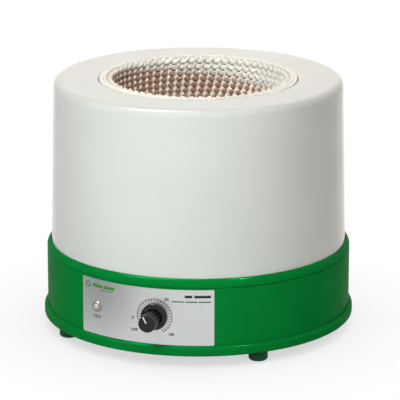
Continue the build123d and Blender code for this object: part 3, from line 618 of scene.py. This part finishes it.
def stroke(path, width, closed=False):
    """A line of ink along a path of (along, up) points: a low box section of some width,
    carried square to the path, with its ends drawn to a point."""
    step = np.roll(path, -1, 0) - np.roll(path, 1, 0) if closed else np.gradient(path, axis=0)
    side = np.stack([-step[:, 1], step[:, 0]], -1) / np.linalg.norm(step, axis=1, keepdims=True)
    edges = np.array([[-0.5, 0.0], [0.5, 0.0], [0.5, 1.0], [-0.5, 1.0]]) * (width, INK)
    flat = np.empty((len(path), 4, 3))
    flat[..., :2] = path[:, None] + edges[None, :, :1] * side[:, None]
    flat[..., 2] = edges[:, 1]
    if not closed:
        ends = flat[[0, -1]].mean(1, keepdims=True).repeat(4, 1)
        flat = np.concatenate([ends[:1], flat, ends[1:]])
    return round_grid(wrap(flat), close_rows=closed)


def line(start, end, count=12):
    """Points of a straight path, enough to follow the panel's curve."""
    return np.linspace(start, end, count)


def panel_point(angle, height):
    """(along, up) in mm of a place on the panel."""
    return np.array([np.radians(angle) * PANEL_RADIUS, height])


# %% [markdown]
# The signs: three rising waves are the common sign for heat, and the bars fill the
# corners where such a panel has its captions.

# %% Signs and bars
HEAT_SIGN = (-19.2, 39.6)  # angle in degrees and height in mm of its middle
ROUND_SIGN = (-23.6, 70.2)
ROUND_SIGN_RADIUS = 2.6
# A bar is the angles of its ends in degrees, its height and its thickness in mm
BLACK_BARS = (
    (15.9, 18.6, 70.1, 2.6), (19.3, 25.3, 70.1, 2.6),
    (11.2, 15.6, 64.9, 1.0), (16.1, 20.4, 64.9, 1.0), (20.9, 25.3, 64.9, 1.0),
)
GREEN_BARS = ((-21.2, -16.6, 70.5, 3.0), (-15.9, -11.2, 70.5, 3.0), (-17.6, -12.0, 66.9, 0.9))
black_marks, green_marks = [], []
heat_place = panel_point(*HEAT_SIGN)
rise = np.linspace(-1.6, 1.6, 16)
for shift in (-3.6, -1.2, 1.2, 3.6):
    wave = np.stack([shift + 0.45 * np.sin(rise * 2.4), rise], -1)
    black_marks.append(stroke(heat_place + wave, 0.8))
for marks, rows in ((black_marks, BLACK_BARS), (green_marks, GREEN_BARS)):
    for left, right, height, width in rows:
        path = line(panel_point(left, height), panel_point(right, height))
        marks.append(stroke(path, width))
spin = np.linspace(0, TURN, 32, endpoint=False)
ring = panel_point(*ROUND_SIGN) + ROUND_SIGN_RADIUS * np.stack([np.cos(spin), np.sin(spin)], -1)
green_marks.append(stroke(ring, 1.3, closed=True))
signs = make_piece("panel_signs", black_marks, black_ink)
bars = make_piece("panel_bars", green_marks, green_ink)


# %% Numbers round the dial
def number(text, angle, height, size):
    """Text of a cap height of about 0.7 of its size, centred at a place on the panel."""
    curve = bpy.data.curves.new("number_" + text, "FONT")
    curve.body, curve.size, curve.extrude = text, size, INK / 2
    curve.align_x, curve.align_y = "CENTER", "CENTER"
    curve.resolution_u, curve.offset = 3, 0.12
    drawn = bpy.data.objects.new("number_" + text, curve)
    bpy.context.scene.collection.objects.link(drawn)
    mesh = bpy.data.meshes.new_from_object(drawn)
    bpy.data.objects.remove(drawn)
    flat = np.empty(3 * len(mesh.vertices))
    mesh.vertices.foreach_get("co", flat)
    flat = flat.reshape(-1, 3) + (*panel_point(angle, height), INK / 2)
    mesh.vertices.foreach_set("co", (wrap(flat) * MM).ravel())
    mesh.materials.clear()
    mesh.materials.append(black_ink)
    mesh.update()
    piece = bpy.data.objects.new("number_" + text, mesh)
    bpy.context.scene.collection.objects.link(piece)
    print("number", text, "faces:", len(mesh.polygons))
    return piece


numbers = [
    number("OFF", -3.0, 33.4, 4.0),
    number("0", -3.6, 45.4, 4.0),
    number("50", 9.3, 66.6, 4.0),
    number("100", 10.9, 32.0, 4.0),
]
for piece in (signs, bars, *numbers):
    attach(piece, "mantle")

# %% [markdown]
# ## Floor and surroundings
#
# The mantle stands on a plain white floor in a white room. Seen by the camera, or in a
# reflection, floor and room are white, and the floor darkens softly where the mantle
# hides the room from it. What lights the mantle is a dark grey sky and light grey paint
# on the floor, so that the lamps can shape it.


# %% White room and floor
def seen_ray(tree):
    """1 where a ray comes from the camera, from a reflection or through glass, else 0."""
    path = add_node(tree, "LightPath")
    mirror = {0: path.outputs["Is Camera Ray"], 1: path.outputs["Is Glossy Ray"]}
    first = add_node(tree, "Math", mirror, operation="MAXIMUM")
    glass = {0: first.outputs[0], 1: path.outputs["Is Transmission Ray"]}
    return add_node(tree, "Math", glass, operation="MAXIMUM").outputs[0]


ROOM_GREY = 0.06
OPEN_ENOUGH = 0.85  # how open to the room the floor is where it is plain white
SHADE_DARKEST = 0.62  # the floor's light where nothing of the room is seen
world = bpy.data.worlds.new("white_room")
world.use_nodes = True
bpy.context.scene.world = world
tree = world.node_tree
sky = {0: seen_ray(tree), 2: ROOM_GREY, 3: 1.0}
level = add_node(tree, "Mix", sky)
tree.links.new(level.outputs[0], tree.nodes["Background"].inputs["Strength"])
tree.nodes["Background"].inputs["Color"].default_value = paint("#FFFFFF")

SHADOW_REACH = 260 * MM
floor_paint, shader = new_finish("matt_white_floor_paint", "#D4D4D4", 0.9, Specular_IOR_Level=0.0)
tree = floor_paint.node_tree
open_room = add_node(tree, "AmbientOcclusion", {"Distance": SHADOW_REACH}, samples=8)
darkening = {0: open_room.outputs["AO"], 1: 0.0, 2: OPEN_ENOUGH, 3: SHADE_DARKEST, 4: 1.0}
shade = add_node(tree, "MapRange", darkening)
white = add_node(tree, "Emission", {"Strength": shade.outputs[0]})
seen = {0: seen_ray(tree), 1: shader.outputs[0], 2: white.outputs[0]}
mixed = add_node(tree, "MixShader", seen)
tree.links.new(mixed.outputs[0], tree.nodes["Material Output"].inputs["Surface"])
span = np.linspace(-6000, 6000, 2)
flat_floor = np.stack([*np.meshgrid(span, span, indexing="ij"), np.zeros((2, 2))], -1)
floor_mesh = round_grid(flat_floor, close_rows=False, close_columns=False)
floor = make_piece("studio_floor", [floor_mesh], floor_paint)

# %% [markdown]
# A grey card lies on the floor at the left of the front, and only reflections see it. It
# darkens the left of the curved metal panel, so that the panel's bend shows. It fades to
# the floor's white at its edges, so it leaves no outline in the gloss.

# %% Grey card for the reflections
CARD_FIRST, CARD_LAST = -80, -8  # the card's angles in degrees
CARD_NEAR, CARD_FAR = 150, 700  # its edges in mm from the axis
CARD_GREY = 0.18  # its light in the middle, where the floor's is 1
card_paint, shader = new_finish("grey_card", "#000000", 1.0, Specular_IOR_Level=0.0)
tree = card_paint.node_tree
fade = add_node(tree, "Attribute", attribute_name="heating")
tone = add_node(tree, "Mix", {0: fade.outputs["Fac"], 2: 1.0, 3: CARD_GREY})
tree.links.new(tone.outputs[0], shader.inputs["Emission Strength"])
shader.inputs["Emission Color"].default_value = paint("#FFFFFF")
across, round_it = np.linspace(0, 1, 12)[:, None], np.linspace(0, 1, 32)
fan = outward(np.radians(CARD_FIRST + (CARD_LAST - CARD_FIRST) * round_it))
flat_card = (CARD_NEAR + (CARD_FAR - CARD_NEAR) * across)[..., None] * fan
fading = np.sin(np.pi * across) * np.sin(np.pi * round_it)
card_grid = round_grid(flat_card + np.array([0.0, 0.0, 0.5]), False, False, fading)
card = make_piece("grey_card", [card_grid], card_paint)
card.visible_camera = card.visible_diffuse = False
card.visible_shadow = card.visible_transmission = False


# %% [markdown]
# ## Lamps
#
# A softbox in front gives the shell its bright middle, with a weak fill at the right and
# a large soft lamp overhead. A large lamp high behind lights the top, and two low ones
# behind brighten the edges, so that the round form stands out from the white room. A
# narrow beam lights the pocket, where the soft lamps hardly reach. These only light the
# mantle, and don't show in its reflections. The streaks on the shoulder and the ledge
# are the reflections of two boxes that light nothing: a large one overhead at the left,
# and a small one at the right. The beam and the two boxes serve this one view, and a
# scene that reuses the mantle needs none of the three.


# %% Lamps
def add_lamp(
    name, angle, elevation, distance, size, power, colour="#FFFFFF",
    mirrored=False, aim=130.0, spread=180.0,
):
    """An area lamp of (width, height) mm at an angle round the mantle and an elevation.
    It faces the mantle's axis at the height aim, from distance mm, and its light spreads
    by some degrees. It lights the mantle, or is only mirrored in its gloss."""
    turn, rise = np.radians(angle), np.radians(elevation)
    lamp = bpy.data.lights.new(name, "AREA")
    lamp.shape, lamp.energy, lamp.color = "RECTANGLE", power, paint(colour)[:3]
    lamp.size, lamp.size_y, lamp.spread = size[0] * MM, size[1] * MM, np.radians(spread)
    holder = bpy.data.objects.new(name, lamp)
    back = outward(turn) * np.cos(rise) + np.array([0.0, 0.0, np.sin(rise)])
    holder.location = (np.array([0.0, 0.0, aim]) + distance * back) * MM
    holder.rotation_euler = (np.pi / 2 - rise, 0.0, turn)
    holder.visible_camera = False
    holder.visible_glossy = mirrored
    holder.visible_diffuse = not mirrored
    bpy.context.scene.collection.objects.link(holder)
    print(name, "at", [round(value, 2) for value in holder.location])


add_lamp("front_softbox", 2, 30, 1300, (400, 600), 10.2, "#F6FCFA")
add_lamp("right_fill", 104, 20, 1300, (400, 600), 1.2, "#FFF6EC")
add_lamp("overhead_soft", 0, 65, 1500, (900, 900), 5.0, "#FFF6EC")
add_lamp("high_back", -160, 40, 1400, (900, 600), 11.5, "#FFF2E6")
add_lamp("low_back_right", 150, 12, 1300, (300, 600), 4.0, "#FFF0E2")
add_lamp("low_back_left", -120, 12, 1300, (300, 600), 0.6)
add_lamp("pocket_light", 8, 48, 1200, (60, 60), 0.023, "#FFFAF4", aim=268.0, spread=9.0)
add_lamp("streak_box", -50, 70, 1400, (600, 900), 24.0, mirrored=True)
add_lamp("spark_far", 86, 68, 1400, (160, 160), 7.0, mirrored=True)

# %% [markdown]
# ## Camera
#
# The camera looks at the front from the right and slightly from above, with a long lens
# from some 2.6 m away, so the round forms stay calm.

# %% Camera
CAMERA_ANGLE, CAMERA_ELEVATION, CAMERA_DISTANCE = 20.78, 15.6, 2591.4
AIM_HEIGHT = 124.0
LENS, SENSOR = 234.0, 36.0
SHIFT_RIGHT, SHIFT_UP = 0.004, -0.0021
turn, rise = np.radians(CAMERA_ANGLE), np.radians(CAMERA_ELEVATION)
camera_data = bpy.data.cameras.new("camera")
camera_data.lens, camera_data.sensor_width = LENS, SENSOR
camera_data.shift_x, camera_data.shift_y = SHIFT_RIGHT, SHIFT_UP
camera = bpy.data.objects.new("camera", camera_data)
back = outward(turn) * np.cos(rise) + np.array([0.0, 0.0, np.sin(rise)])
camera.location = (np.array([0.0, 0.0, AIM_HEIGHT]) + CAMERA_DISTANCE * back) * MM
camera.rotation_euler = (np.pi / 2 - rise, 0.0, turn)
bpy.context.scene.collection.objects.link(camera)
bpy.context.scene.camera = camera
bpy.context.scene.view_settings.view_transform = "Standard"
